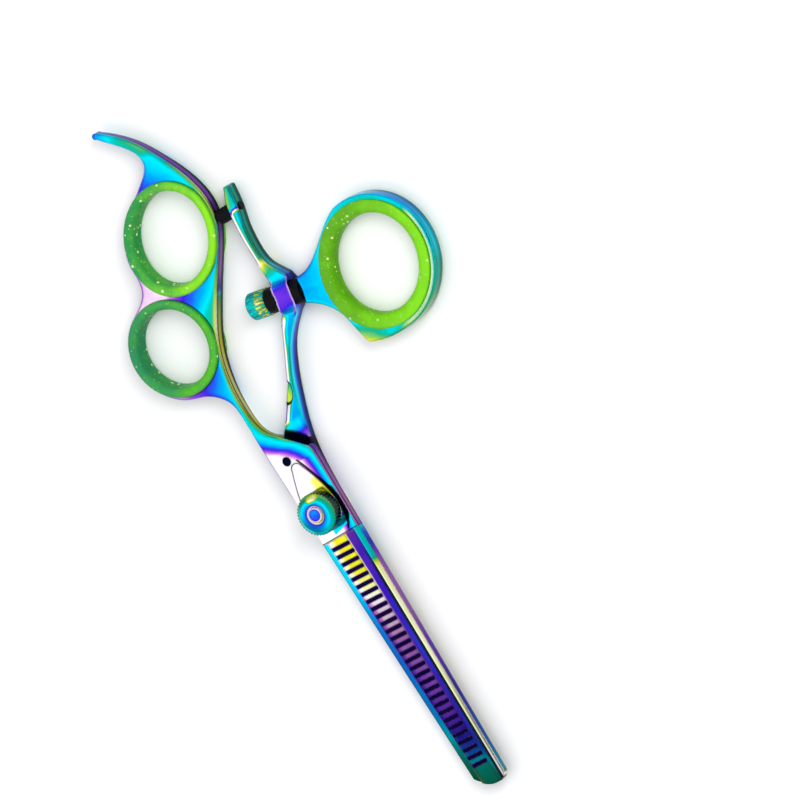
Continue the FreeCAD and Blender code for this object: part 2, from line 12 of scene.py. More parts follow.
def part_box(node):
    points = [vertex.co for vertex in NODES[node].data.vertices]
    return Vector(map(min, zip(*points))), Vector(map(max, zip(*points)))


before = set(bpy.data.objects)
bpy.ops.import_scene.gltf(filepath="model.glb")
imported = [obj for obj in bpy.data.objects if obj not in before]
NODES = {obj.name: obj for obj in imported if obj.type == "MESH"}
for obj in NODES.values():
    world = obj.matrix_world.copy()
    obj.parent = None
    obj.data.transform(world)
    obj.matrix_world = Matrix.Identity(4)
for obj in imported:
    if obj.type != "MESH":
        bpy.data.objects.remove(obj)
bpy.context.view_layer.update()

MM = 0.001
CROWN = 1.6            # mm over which the coating's colour follows the nearest edge
TOOTH_CROWN = 0.3      # the same on the narrow teeth
EDGE_CROWN = 0.6       # mm of soft shading inside each edge

# Places on the shears in millimetres: x and y from the pivot axis, z from the floor.
HANDLE_TOP = 5.05                   # z of the top faces on the thumb side
BLADE_JOIN = (6.7, 6.9)             # x over which a handle's layout gives way to its blade's
BLADE_RUN = (7, 71)                 # x of the first tooth and of the blades' tips
TOOTH_ROOTS = (0.9, 3.0)            # y of the teeth's roots at those two places
TOOTH_TIPS = (-5.1, -1.9)           # y of the teeth's tips at those two places
RIDGE_RUN = (6.8, 71.3)             # x of the ends of the toothed blade's ridge
RIDGE_CREST = (4.25, 4.8)           # y of its crest at those two places
HUB_END = (4.0, 5.9)                # x, on the line y = 0, of the band that ends the hub
HUB_END_SLANT = 0.25                # how much less x that band has for each mm of y
SHANK_START = (-42.5, -40.5)        # x over which the thumb side's socket becomes its shank
SHANK_OUT = (0.42, 0.90)            # direction across the thumb side, towards its outer edge
CROSSING_AT = (-19.4, -1.1)         # a point on the slanting edge that crosses the plain half
CROSSING_OUT = (-0.760, 0.650)      # direction away from that edge
SCALLOP_AT = (-26.55, 6.6)          # middle of the oval bite in the thumb shank
SCALLOP = (2.7, 1.55)               # half of its length and of its width
SCALLOP_LEAN = (-0.819, 0.574)      # direction of its length
SCALLOP_MEAN = 1.8                  # mm for one unit of the oval
THUMB_CENTRE = (-41.0, 43.5)        # middle of the thumb ring, on the swivel axis
RING_ACROSS = (0.57, 0.82)          # direction in which the rings and their gels change colour
SWIVEL_DIR = (-0.163, -0.9866)      # direction from there to the swivel screw's head
SWIVEL_GOLD = (29.5, 32.2)          # where along it golden glints are painted on the head

# ---- the coating: one cycle of interference colours -----------------------------------
# Place in the cycle, then linear red, green and blue.
FILM = [
    (0.00, (0.000, 0.760, 0.930)),      # cyan
    (0.09, (0.000, 0.380, 0.930)),      # azure
    (0.18, (0.010, 0.110, 0.850)),      # blue
    (0.27, (0.040, 0.012, 0.640)),      # indigo
    (0.37, (0.240, 0.050, 0.720)),      # violet
    (0.45, (0.600, 0.230, 0.640)),      # pink
    (0.52, (0.960, 0.860, 0.930)),      # blush
    (0.57, (1.000, 1.000, 0.970)),      # white
    (0.63, (0.960, 0.960, 0.560)),      # cream
    (0.71, (0.850, 0.780, 0.010)),      # yellow
    (0.79, (0.300, 0.640, 0.060)),      # lime
    (0.88, (0.010, 0.420, 0.200)),      # green
    (0.95, (0.000, 0.540, 0.480)),      # teal
    (1.00, (0.000, 0.760, 0.930)),      # cyan again
]
# Places in the cycle that the layouts use on their own. Their whole cycles decide which
# colours lie between them and the colours beside them.
WHITE = 0.58
CREAM = 0.62
GOLD = 0.66
TEAL = 0.93
CYAN = 1.01
INDIGO = 1.30
VIOLET = 1.36
BLUSH = 2.52


# ---- shader building ------------------------------------------------------------------
class Shader:
    """The nodes of a material or a world, written as arithmetic on their sockets."""

    def __init__(self, owner, output="ShaderNodeOutputMaterial"):
        self.owner = owner
        owner.use_nodes = True
        self.tree = owner.node_tree
        self.tree.nodes.clear()
        self.output = self.tree.nodes.new(output)

    def node(self, kind, inputs=(), **settings):
        """New node with its inputs and settings."""
        made = self.tree.nodes.new(kind)
        for key, value in settings.items():
            setattr(made, key, value)
        for key, value in dict(inputs).items():
            self.feed(made.inputs[key], value)
        return made

    def feed(self, socket, value):
        """Link a socket's value, or set a plain one."""
        if isinstance(value, bpy.types.NodeSocket):
            self.tree.links.new(value, socket)
        else:
            socket.default_value = value

    def math(self, operation, *values):
        made = self.node("ShaderNodeMath", operation=operation)
        for socket, value in zip(made.inputs, values):
            self.feed(socket, value)
        return made.outputs[0]

    def add(self, *values):
        total = values[0]
        for value in values[1:]:
            total = self.math("ADD", total, value)
        return total

    def times(self, a, b):
        return self.math("MULTIPLY", a, b)

    def minus(self, a, b):
        return self.math("SUBTRACT", a, b)

    def dot(self, a, b):
        made = self.node("ShaderNodeVectorMath", operation="DOT_PRODUCT")
        for socket, value in zip(made.inputs, (a, b)):
            self.feed(socket, value)
        return made.outputs["Value"]

    def along(self, parts, direction):
        """How much of a vector's x and y parts lies along a direction."""
        return self.add(self.times(parts[0], direction[0]), self.times(parts[1], direction[1]))

    def reach(self, place, start, direction):
        """How far a place lies from a start, measured along a direction."""
        offset = (self.minus(place[0], start[0]), self.minus(place[1], start[1]))
        return self.along(offset, direction)

    def mapped(self, value, low, high, to_low=0.0, to_high=1.0, smooth=False):
        """Value carried from one range to another and kept inside it."""
        kind = "SMOOTHSTEP" if smooth else "LINEAR"
        made = self.node("ShaderNodeMapRange", interpolation_type=kind, clamp=True)
        for key, item in zip(("Value", "From Min", "From Max", "To Min", "To Max"),
                             (value, low, high, to_low, to_high)):
            self.feed(made.inputs[key], item)
        return made.outputs[0]

    def window(self, value, low, high, soft):
        """One between two values and nothing outside, with soft ends."""
        rise = self.mapped(value, low - soft, low + soft, smooth=True)
        fall = self.mapped(value, high - soft, high + soft, 1.0, 0.0, smooth=True)
        return self.times(rise, fall)

    def blend(self, factor, a, b):
        """Number that goes from a to b."""
        made = self.node("ShaderNodeMix", data_type="FLOAT")
        self.feed(made.inputs["Factor"], factor)
        self.feed(made.inputs["A"], a)
        self.feed(made.inputs["B"], b)
        return made.outputs["Result"]

    def mix(self, factor, a, b, blend_type="MIX"):
        """Colour that goes from a to b."""
        made = self.node("ShaderNodeMix", data_type="RGBA", blend_type=blend_type)
        self.feed(made.inputs["Factor"], factor)
        for socket, value in zip((made.inputs[6], made.inputs[7]), (a, b)):
            self.feed(socket, value if isinstance(value, bpy.types.NodeSocket) else (*value, 1.0))
        return made.outputs[2]

    def profile(self, value, stops):
        """Smooth curve through (input, output) pairs."""
        low, high = stops[0][0], stops[-1][0]
        least = min(out for _, out in stops)
        most = max(out for _, out in stops)
        span = max(most - least, 1e-6)
        made = self.node("ShaderNodeFloatCurve")
        curve = made.mapping.curves[0]
        made.mapping.extend = "HORIZONTAL"
        ends = [curve.points[0], curve.points[-1]]
        for point, stop in zip(ends, (stops[0], stops[-1])):
            point.location = ((stop[0] - low) / (high - low), (stop[1] - least) / span)
        for place, out in stops[1:-1]:
            curve.points.new((place - low) / (high - low), (out - least) / span)
        made.mapping.update()
        self.feed(made.inputs["Value"], self.mapped(value, low, high))
        return self.add(self.times(made.outputs[0], span), least)

    def ramp(self, value, stops):
        """Colour ramp through (place, colour) pairs."""
        made = self.node("ShaderNodeValToRGB")
        points = made.color_ramp.elements
        points[0].position, points[0].color = stops[0][0], (*stops[0][1], 1.0)
        points[1].position, points[1].color = stops[-1][0], (*stops[-1][1], 1.0)
        for place, colour in stops[1:-1]:
            points.new(place).color = (*colour, 1.0)
        self.feed(made.inputs["Fac"], value)
        return made.outputs["Color"]

    def place(self):
        """Object coordinates in millimetres: x, y and z from the pivot axis and the floor."""
        where = self.node("ShaderNodeTexCoord").outputs["Object"]
        scaled = self.node("ShaderNodeVectorMath", operation="SCALE")
        self.feed(scaled.inputs[0], where)
        self.feed(scaled.inputs["Scale"], 1.0 / MM)
        split = self.node("ShaderNodeSeparateXYZ")
        self.feed(split.inputs[0], scaled.outputs[0])
        return scaled.outputs[0], split.outputs[0], split.outputs[1], split.outputs[2]

    def grey(self, value):
        """Colour with the same value in all three of its parts."""
        made = self.node("ShaderNodeCombineColor")
        for socket in made.inputs:
            self.feed(socket, value)
        return made.outputs[0]

    def facing(self, vector=None):
        """The parts of a normal, or of the surface's own."""
        if vector is None:
            vector = self.node("ShaderNodeTexCoord").outputs["Normal"]
        split = self.node("ShaderNodeSeparateXYZ")
        self.feed(split.inputs[0], vector)
        return split.outputs[0], split.outputs[1], split.outputs[2]

    def noise(self, where, size, detail=2.0, stretch=None):
        """Noise from 0 to 1 whose features are about that many millimetres across."""
        if stretch is not None:
            scaled = self.node("ShaderNodeVectorMath", operation="MULTIPLY")
            self.feed(scaled.inputs[0], where)
            self.feed(scaled.inputs[1], stretch)
            where = scaled.outputs[0]
        made = self.node("ShaderNodeTexNoise")
        self.feed(made.inputs["Vector"], where)
        self.feed(made.inputs["Scale"], 1.0 / size)
        self.feed(made.inputs["Detail"], detail)
        return made.outputs["Fac"]

    def rounded_normal(self, radius):
        """Normal smoothed over a radius in millimetres, in the object's own axes."""
        made = self.node("ShaderNodeBevel", samples=8)
        self.feed(made.inputs["Radius"], radius * MM)
        turned = self.node("ShaderNodeVectorTransform", vector_type="NORMAL",
                           convert_from="WORLD", convert_to="OBJECT")
        self.feed(turned.inputs[0], made.outputs[0])
        return turned.outputs[0]

    def bump(self, height, depth, strength, normal=None):
        """Normal for a relief that is at most depth millimetres high."""
        made = self.node("ShaderNodeBump")
        self.feed(made.inputs["Strength"], strength)
        self.feed(made.inputs["Distance"], depth * MM)
        self.feed(made.inputs["Height"], height)
        if normal is not None:
            self.feed(made.inputs["Normal"], normal)
        return made.outputs[0]

    def finish(self, surface):
        self.tree.links.new(surface, self.output.inputs["Surface"])
        return self.owner


def edge_wear(shader, radius):
    """How close a point is to a sharp convex edge, from 0 to 1."""
    soft = shader.rounded_normal(radius)
    own = shader.node("ShaderNodeTexCoord").outputs["Normal"]
    return shader.mapped(shader.dot(soft, own), 0.985, 0.80)


class Site:
    """What a coating layout may read about a point of a piece.

    where, x, y and z are its place in millimetres. soft, close and own are the parts of the
    widely smoothed, the narrowly smoothed and the surface's own normal. wall is one on
    upright faces and nothing on level ones.
    """

    def __init__(self, shader):
        self.where, self.x, self.y, self.z = shader.place()
        self.soft = shader.facing(shader.rounded_normal(CROWN))
        self.close = shader.facing(shader.rounded_normal(TOOTH_CROWN))
        self.own = shader.facing()
        self.wall = shader.mapped(shader.math("ABSOLUTE", self.own[2]), 0.75, 0.35)


def coated_steel(name, film, shade, roughness):
    """Polished steel under the rainbow coating.

    film(shader, site) gives the place in the cycle and shade(shader, site), where there is
    one, how much of the coating's brightness is left.
    """
    shader = Shader(bpy.data.materials.new(name))
    site = Site(shader)
    value = film(shader, site)
    # The film's thickness drifts slowly along the steel and has a fine mottling.
    drift = shader.times(shader.minus(shader.noise(site.where, 9.0), 0.5), 0.10)
    fine = shader.times(shader.minus(shader.noise(site.where, 1.1, 4.0), 0.5), 0.022)
    cycle = shader.math("FRACT", shader.add(value, drift, fine, 4.0))
    colour = shader.ramp(cycle, FILM)
    # The shade layout paints shade and dark reflections into the coating's colour.
    if shade is not None:
        colour = shader.mix(1.0, colour, shader.grey(shade(shader, site)), "MULTIPLY")
    # Bare steel shows in spots along the sharpest edges.
    wear = edge_wear(shader, 0.14)
    spots = shader.mapped(shader.noise(site.where, 0.7, 5.0), 0.42, 0.62)
    worn = shader.times(shader.times(wear, spots), 0.35)
    colour = shader.mix(worn, colour, (0.70, 0.71, 0.72))
    # Polishing marks run along x.
    scratches = shader.noise(site.where, 0.35, 3.0, (0.12, 1.0, 1.0))
    rough = shader.add(roughness, shader.times(shader.noise(site.where, 3.0, 3.0), 0.05),
                       shader.times(scratches, 0.04), shader.times(worn, 0.12))
    crown = shader.node("ShaderNodeBevel", {"Radius": EDGE_CROWN * MM}, samples=6).outputs[0]
    normal = shader.bump(scratches, 0.002, 0.25, crown)
    metal = shader.node("ShaderNodeBsdfPrincipled", {
        "Base Color": colour, "Roughness": rough, "Normal": normal, "Metallic": 1.0})
    return shader.finish(metal.outputs[0])


# ---- film and shade layouts -------------------------------------------------------------
# A film is a place in the cycle of colours, where each whole number is cyan; a shade is the share of
# the coating's brightness that is left, and carries the painted shade and painted reflections of
# walls, gaps and hollows.
def join_blade(shader, site, handle, blade):
    """The handle's value up to where the blade begins, and the blade's beyond."""
    return shader.blend(shader.mapped(site.x, *BLADE_JOIN), handle, blade)


def below_top(shader, site):
    """Depth under the top faces of the thumb side."""
    return shader.minus(HANDLE_TOP, site.z)


def below_roots(shader, site):
    """How far a point lies past the line of the teeth's roots, towards their tips."""
    return shader.minus(shader.mapped(site.x, *BLADE_RUN, *TOOTH_ROOTS), site.y)


def solid_strip(shader, site):
    """One on the solid strip behind the teeth, and nothing on the teeth."""
    return shader.mapped(below_roots(shader, site), 0.1, -0.5)


def under_teeth_shade(shader, site):
    """One where the plain blade lies under the teeth, and nothing beyond their tips: where painted
    shade darkens the blade between the teeth.
    """
    tips = shader.mapped(site.x, *BLADE_RUN, *TOOTH_TIPS)
    return shader.mapped(shader.minus(site.y, tips), -0.15, 0.25)


def ridge_height(shader, site):
    """How far a point lies past the crest of the toothed blade's ridge, in y."""
    return shader.minus(site.y, shader.mapped(site.x, *RIDGE_RUN, *RIDGE_CREST))


def blade_back(shader, site):
    """One on the back of the toothed blade, the wall that faces +y."""
    return shader.mapped(site.own[1], 0.86, 0.94)


def hub_end(shader, site):
    """Slanted band across the hub just before the teeth."""
    ahead = shader.add(site.x, shader.times(site.y, HUB_END_SLANT))
    return shader.times(shader.window(ahead, *HUB_END, 0.06), shader.mapped(site.y, -0.56, -0.5))


def from_upper_edge(shader, site):
    """Distance in from the edge of the toothed half that faces the thumb shank."""
    edge = shader.profile(site.x, [
        (-40, -3.9), (-32.6, -5.0), (-26.8, -4.75), (-22.8, -3.9), (-19.4, -1.1), (-16.9, 1.85),
        (-14.4, 4.75), (-12.6, 5.5), (8, 5.5)])
    slant = shader.profile(site.x, [(-26, 1.0), (-21, 0.75), (-19, 0.62), (-15, 0.62), (-12, 1.0)])
    return shader.times(shader.minus(edge, site.y), slant)


def from_scallop(shader, site):
    """Roughly the distance out from the rim of the oval bite in the thumb shank."""
    cos, sin = SCALLOP_LEAN
    along = shader.reach((site.x, site.y), SCALLOP_AT, (cos, sin))
    aside = shader.reach((site.x, site.y), SCALLOP_AT, (-sin, cos))
    along = shader.times(along, 1.0 / SCALLOP[0])
    aside = shader.times(aside, 1.0 / SCALLOP[1])
    square = shader.add(shader.times(along, along), shader.times(aside, aside))
    return shader.times(shader.minus(shader.math("SQRT", square), 1.0), SCALLOP_MEAN)


def radius_from_pivot(shader, site):
    return shader.math("SQRT", shader.add(shader.times(site.x, site.x), shader.times(site.y, site.y)))


def wall_reflection_bands(shader, depth):
    """Painted reflection of the room on polished walls, in bands by depth under the top: pale lip,
    dark line, middle band, dark foot.
    """
    return shader.profile(depth, [
        (0.0, 1.0), (0.35, 0.9), (0.6, 0.10), (0.9, 0.10), (1.3, 0.50), (1.9, 0.42), (2.35, 0.04),
        (3.6, 0.03)])


# ---- the toothed half ---------------------------------------------------------------------
def toothed_hub_film(shader, site):
    """Bands that follow the upper edge of the neck and the hub."""
    spread = shader.profile(site.x, [
        (-34, 0.16), (-28, 0.28), (-22, 0.55), (-17, 0.85), (-13, 1.0), (-6, 1.1)])
    inward = shader.times(from_upper_edge(shader, site), spread)
    hub = shader.profile(inward, [
        (-0.5, 0.76), (0.0, 0.80), (0.35, 0.95), (1.0, 1.01), (1.7, 1.10), (2.3, 1.24), (3.0, 1.38),
        (3.7, 1.48), (4.6, 1.54), (7.0, 1.56), (13.0, 1.56)])
    lower_rim = shader.times(shader.mapped(site.close[1], -0.25, -0.6),
                             shader.window(site.x, -22, -6, 2.0))
    hub = shader.blend(lower_rim, hub, VIOLET)
    return shader.blend(hub_end(shader, site), hub, CYAN)


def toothed_grip_film(shader, site):
    """Broad bands along the finger handle, changed where its face leans and on its belly."""
    along = shader.profile(site.x, [
        (-98, 1.46), (-95, 1.00), (-90, 0.90), (-86, 1.04), (-80, 1.03), (-72, 0.95), (-62, 1.14),
        (-55, 1.04), (-48, 0.97), (-40, 1.10), (-32, 1.00), (-24, 1.00)])
    narrow = shader.profile(site.x, [(-98, 0.25), (-88, 0.25), (-80, 0.8), (-60, 1.0), (-30, 1.0)])
    lean = shader.times(shader.times(site.soft[1], -0.42), narrow)
    middle = shader.profile(site.x, [(-98, -2), (-86, 4), (-72, 13), (-56, 3), (-40, -5), (-20, -2)])
    across = shader.times(shader.minus(middle, site.y), 0.028)
    grip = shader.math("MINIMUM", shader.add(along, lean, shader.times(across, narrow)), 1.49)
    belly = shader.times(shader.mapped(site.soft[1], -0.10, -0.60, smooth=True),
                         shader.window(site.x, -76, -34, 4.0))
    return shader.add(grip, shader.times(belly, -0.17))


def toothed_handle_film(shader, site):
    face = shader.blend(shader.mapped(site.x, -33, -23, smooth=True),
                        toothed_grip_film(shader, site), toothed_hub_film(shader, site))
    wall = shader.profile(site.x, [
        (-98, 0.96), (-92, 1.38), (-80, 1.39), (-66, 1.38), (-58, 1.42), (-52, 0.86), (-44, 0.72),
        (-30, 0.67), (-22, 0.74), (-16, 1.00), (-10, 1.42), (8, 1.42)])
    return shader.blend(site.wall, face, wall)


def toothed_blade_film(shader, site):
    """The teeth, then the solid strip behind them, the ridge and the back."""
    teeth = shader.profile(site.x, [
        (8, 1.71), (15, 1.70), (20, 1.64), (25, 1.50), (32, 1.45), (42, 1.41), (54, 1.34),
        (62, 1.20), (67, 0.95), (71, 0.90)])
    teeth = shader.add(teeth, shader.times(shader.math("ABSOLUTE", site.close[0]), -0.16))
    tips = shader.mapped(below_roots(shader, site), 3.5, 5.6, 0.0, -0.16)
    teeth = shader.add(teeth, tips)
    strip = shader.profile(site.x, [
        (7, 1.42), (11, 1.30), (30, 1.25), (60, 1.24), (66, 1.05), (71, 0.92)])
    ridge = shader.profile(site.x, [
        (7, 0.97), (13.5, 0.95), (17, 0.64), (24, 0.62), (60, 0.62), (71, 0.50)])
    back = shader.profile(site.x, [
        (7, 1.00), (12, 1.30), (18, 1.41), (35, 1.37), (50, 1.26), (64, 1.10), (71, 0.95)])
    blade = shader.blend(solid_strip(shader, site), teeth, strip)
    blade = shader.blend(shader.mapped(ridge_height(shader, site), -0.05, 0.1), blade, ridge)
    return shader.blend(blade_back(shader, site), blade, back)


def toothed_film(shader, site):
    handle = toothed_handle_film(shader, site)
    return join_blade(shader, site, handle, toothed_blade_film(shader, site))


def recess_shade(shader, site):
    """Painted shade: a dark crescent in the hub's top face along the edge of the leaf's recess, beside
    the knob.
    """
    rim = shader.profile(site.x, [
        (-14, -0.5), (-12.5, 0.40), (-8, 2.3), (-4, 3.7), (0, 4.3), (4, 3.9), (6.5, 2.0)])
    width = shader.profile(site.x, [
        (-14, 0.35), (-8, 0.65), (-3, 0.95), (1.5, 1.3), (4.5, 0.8), (6.5, 0.3)])
    past = shader.minus(site.y, rim)
    shaded_band = shader.times(shader.mapped(past, -0.1, 0.05),
                          shader.mapped(shader.minus(past, width), 0.2, 0.0))
    shaded_band = shader.times(shaded_band, shader.window(site.x, -12.7, 6.2, 0.15))
    return shader.times(shaded_band, shader.mapped(site.own[2], 0.3, 0.6))


def toothed_handle_shade(shader, site):
    top = shader.profile(site.x, [
        (-98, 4.5), (-54, 4.6), (-42, 4.7), (-30, 5.25), (-20, 5.68), (8, 5.7)])
    # Painted reflection on the walls, in bands by depth under the handle's top.
    handle = shader.blend(site.wall, 1.0, wall_reflection_bands(shader, shader.minus(top, site.z)))
    # Painted shade in the crescent beside the leaf and the knob.
    handle = shader.blend(recess_shade(shader, site), handle, 0.02)
    # Painted shade: a thin dark line where the hub steps down to the teeth.
    step_shade = shader.times(shader.window(site.x, 6.45, 6.7, 0.08), shader.mapped(site.own[2], 0.3, 0.6))
    return shader.blend(step_shade, handle, 0.10)


def toothed_blade_shade(shader, site):
    """Darker towards the tip, with painted shade in the ridge's steep side and on the sides of the
    teeth, and a painted reflection that darkens the back.
    """
    teeth = shader.profile(site.x, [
        (7, 1.0), (16, 0.95), (24, 0.75), (34, 0.48), (50, 0.40), (62, 0.28), (71, 0.18)])
    strip = shader.profile(site.x, [(7, 0.45), (24, 0.75), (50, 0.60), (64, 0.32), (71, 0.16)])
    blade = shader.blend(solid_strip(shader, site), teeth, strip)
    height = ridge_height(shader, site)
    steep_shade = shader.window(height, -1.05, 0.02, 0.10)
    blade = shader.blend(shader.times(steep_shade, shader.mapped(site.x, 10, 17)), blade, 0.01)
    tooth_side_shade = shader.mapped(shader.math("ABSOLUTE", site.close[0]), 0.05, 0.6)
    blade = shader.times(blade, shader.blend(tooth_side_shade, 1.0, 0.12))
    crest = shader.mapped(height, 0.0, 0.15)
    blade = shader.blend(crest, blade, shader.mapped(site.x, 50, 69, 1.0, 0.75))
    back = shader.mapped(site.x, *BLADE_RUN, 0.60, 0.30)
    return shader.blend(blade_back(shader, site), blade, back)


def toothed_shade(shader, site):
    handle = toothed_handle_shade(shader, site)
    return join_blade(shader, site, handle, toothed_blade_shade(shader, site))


# ---- the plain half -----------------------------------------------------------------------
def inner_stripe(shader, site):
    """Narrow bands along the inner edge of the thumb side, by the distance from it."""
    inner_edge = shader.profile(site.x, [
        (-68, 17.65), (-64, 17.15), (-60, 16.95), (-53, 17.1), (-50, 17.3), (-42, 16.0), (-38, 13.3),
        (-34, 11.15), (-30, 8.9), (-26, 6.6), (-22, 2.9), (-20, 1.0)])
    return shader.profile(shader.minus(site.y, inner_edge), [
        (0.0, 1.38), (0.2, 1.49), (0.75, 1.54), (0.9, 1.66), (1.05, 1.90), (1.5, 1.97), (2.0, 2.08)])


def plain_face_film(shader, site):
    """Bands along the thumb side's face, changed where it turns over towards its edges."""
    face = shader.profile(site.x, [
        (-73, 0.90), (-68, 0.94), (-62, 1.42), (-57, 1.55), (-54.5, 1.62), (-53, 1.80),
        (-51.6, 1.90), (-50.3, 1.99), (-48.8, 2.07), (-47.4, 2.26), (-46, 2.33), (-43.2, 2.31),
        (-42.1, 2.14), (-40.5, 2.01), (-38, 1.96), (-34, 1.95), (-28, 1.98), (-23, 2.00),
        (-19.5, 2.04), (-17, 2.32), (-14, 2.40), (7, 2.50)])
    outward = shader.along(site.soft, SHANK_OUT)
    turned = shader.profile(outward, [(-0.7, -0.47), (-0.25, -0.44), (-0.09, -0.36), (-0.03, -0.14),
                                      (0.02, -0.02), (0.12, 0.05), (0.3, 0.15), (0.7, 0.28)])
    slim = shader.profile(site.x, [(-73, 0.1), (-64, 0.3), (-53, 0.2), (-48, 0.0), (-42, 0.1),
                                   (-38, 1.0), (-30, 1.0), (-27, 0.25), (-22, 0.15), (-14, 0.3)])
    face = shader.add(face, shader.times(turned, slim))
    striped = shader.add(shader.window(site.x, -41.0, -20.5, 0.8),
                         shader.window(site.x, -67.0, -54.5, 1.0))
    face = shader.blend(striped, face, inner_stripe(shader, site))
    # Painted highlight: pink-white lines along the long edges of the swivel boss.
    rim = shader.mapped(shader.math("ABSOLUTE", outward), 0.34, 0.50)
    rim = shader.times(rim, shader.window(site.x, -51.0, -40.5, 0.8))
    face = shader.blend(rim, face, BLUSH)
    in_bite = shader.mapped(from_scallop(shader, site), 0.1, -0.1)
    return shader.blend(in_bite, face, shader.mapped(site.y, 6.4, 8.2, 1.76, 1.90))


def plain_wall_film(shader, site):
    wall = shader.profile(site.x, [
        (-73, 0.95), (-60, 0.92), (-54, 0.98), (-50, 1.12), (-44, 1.30), (7, 1.2)])
    shank = shader.profile(below_top(shader, site), [
        (0.0, 1.00), (0.9, 1.04), (1.5, 1.12), (2.2, 1.22), (3.0, 1.27), (3.8, 1.25)])
    shank = shader.minus(shank, shader.mapped(site.x, -33, -26, 0.0, 0.06))
    return shader.blend(shader.mapped(site.x, *SHANK_START), wall, shank)


def plain_film(shader, site):
    handle = shader.blend(site.wall, plain_face_film(shader, site), plain_wall_film(shader, site))
    strip = shader.profile(site.x, [
        (7, 1.00), (16, 1.02), (26, 1.09), (38, 1.15), (48, 1.13), (56, 1.03), (64, 0.93), (71, 0.88)])
    # Painted shade: deep indigo where the plain blade lies under the teeth.
    blade = shader.blend(under_teeth_shade(shader, site), strip, INDIGO)
    return join_blade(shader, site, handle, blade)


def plain_wall_shade(shader, site):
    # Painted reflection and shade on the walls: bands on the socket, darker towards the foot on the
    # shank.
    depth = below_top(shader, site)
    walls = shader.mapped(wall_reflection_bands(shader, depth), 0.0, 1.0, 0.12, 0.9)
    shank = shader.profile(depth, [
        (0.0, 1.0), (1.0, 0.95), (1.7, 0.75), (2.4, 0.50), (3.0, 0.18), (4.0, 0.10)])
    return shader.blend(shader.mapped(site.x, *SHANK_START), walls, shank)


def crossing_gap_shade(shader, site):
    """One in the painted shade of the gap beside the slanting edge that crosses the plain half."""
    beyond = shader.reach((site.x, site.y), CROSSING_AT, CROSSING_OUT)
    return shader.times(shader.mapped(beyond, 1.35, 1.0), shader.window(site.x, -26.0, -12.0, 0.5))


def plain_shade(shader, site):
    handle = shader.blend(site.wall, 1.0, plain_wall_shade(shader, site))
    # Painted shade along the rim of the oval bite.
    bite_rim_shade = shader.window(from_scallop(shader, site), -0.25, 0.22, 0.12)
    handle = shader.blend(bite_rim_shade, handle, 0.04)
    # Painted shade in the gap beside the crossing edge.
    handle = shader.blend(crossing_gap_shade(shader, site), handle, 0.03)
    strip = shader.profile(site.x, [
        (7, 1.0), (18, 0.90), (30, 0.62), (50, 0.45), (62, 0.25), (71, 0.10)])
    # Painted shade: nearly black where the plain blade lies under the teeth.
    blade = shader.blend(under_teeth_shade(shader, site), strip, 0.06)
    return join_blade(shader, site, handle, blade)


# ---- the smaller coated pieces ------------------------------------------------------------
def ring_film(shader, site):
    base = shader.profile(site.y, [(22, 1.12), (28, 1.06), (34, 0.98), (44, 0.94), (58, 0.92)])
    spur = shader.mapped(site.x, -32.0, -27.0)
    spur = shader.times(spur, shader.mapped(site.y, 38.0, 32.0))
    base = shader.add(base, shader.times(spur, -0.24))
    face = shader.add(base, shader.times(site.soft[0], -0.14), shader.times(site.soft[1], 0.10))
    outward = shader.along(site.soft, RING_ACROSS)
    across = shader.reach((site.x, site.y), THUMB_CENTRE, RING_ACROSS)
    # Painted highlight: a white line where the face starts to turn down on the side towards
    # RING_ACROSS.
    highlight_streak = shader.times(shader.window(outward, 0.02, 0.16, 0.03), shader.mapped(across, 6.0, 9.0))
    return shader.blend(shader.times(highlight_streak, shader.minus(1.0, site.wall)), face, WHITE)


def ring_shade(shader, site):
    # Painted reflection on the ring's walls, in bands by depth under the top.
    bands = wall_reflection_bands(shader, below_top(shader, site))
    return shader.blend(site.wall, 1.0, shader.mapped(bands, 0.0, 1.0, 0.35, 1.0))


def knob_film(shader, site):
    # Painted reflection shifts the face's colour across the knob, and a small cream painted highlight
    # lies on it near x = -3.5 mm.
    reflection_tilt = shader.add(shader.times(site.x, 0.012), shader.times(site.y, -0.008))
    ring = shader.profile(radius_from_pivot(shader, site), [
        (1.7, 1.56), (2.05, 1.52), (2.35, 1.20), (3.0, 1.08), (3.6, 1.00), (4.2, 0.93), (4.85, 0.86)])
    knob_highlight = shader.times(shader.window(site.x, -4.2, -2.9, 0.5), shader.window(site.y, -0.2, 2.4, 0.7))
    face = shader.blend(shader.times(knob_highlight, 0.95), shader.add(ring, reflection_tilt), CREAM)
    return shader.blend(site.wall, face, TEAL)


def knob_shade(shader, site):
    # Painted shade: a crescent on the face's side towards +x and -y, and the knurled side kept dark.
    shaded_crescent = shader.window(radius_from_pivot(shader, site), 2.6, 3.9, 0.3)
    low_side = shader.mapped(shader.minus(site.x, site.y), 1.5, 4.5)
    face = shader.minus(1.0, shader.times(shader.times(shaded_crescent, low_side), 0.62))
    return shader.blend(site.wall, face, 0.06)


def screw_film(shader, site):
    middle = shader.profile(radius_from_pivot(shader, site), [(0.0, 1.13), (1.15, 1.16), (1.4, 1.36),
                                                              (1.6, 1.54), (1.75, 1.55)])
    return shader.add(middle, shader.times(shader.mapped(site.x, -1.2, 1.4), 0.12))


def leaf_film(shader, site):
    base = shader.profile(site.x, [(-12, 1.56), (-7, 1.57), (-5, 1.57), (0, 1.60), (3.4, 1.56),
                                   (3.9, 1.03), (5, 1.01)])
    by_knob = shader.times(shader.mapped(site.y, 0.4, 1.4), shader.window(site.x, -7.6, -2.0, 0.7))
    return shader.add(base, shader.times(by_knob, 0.135))


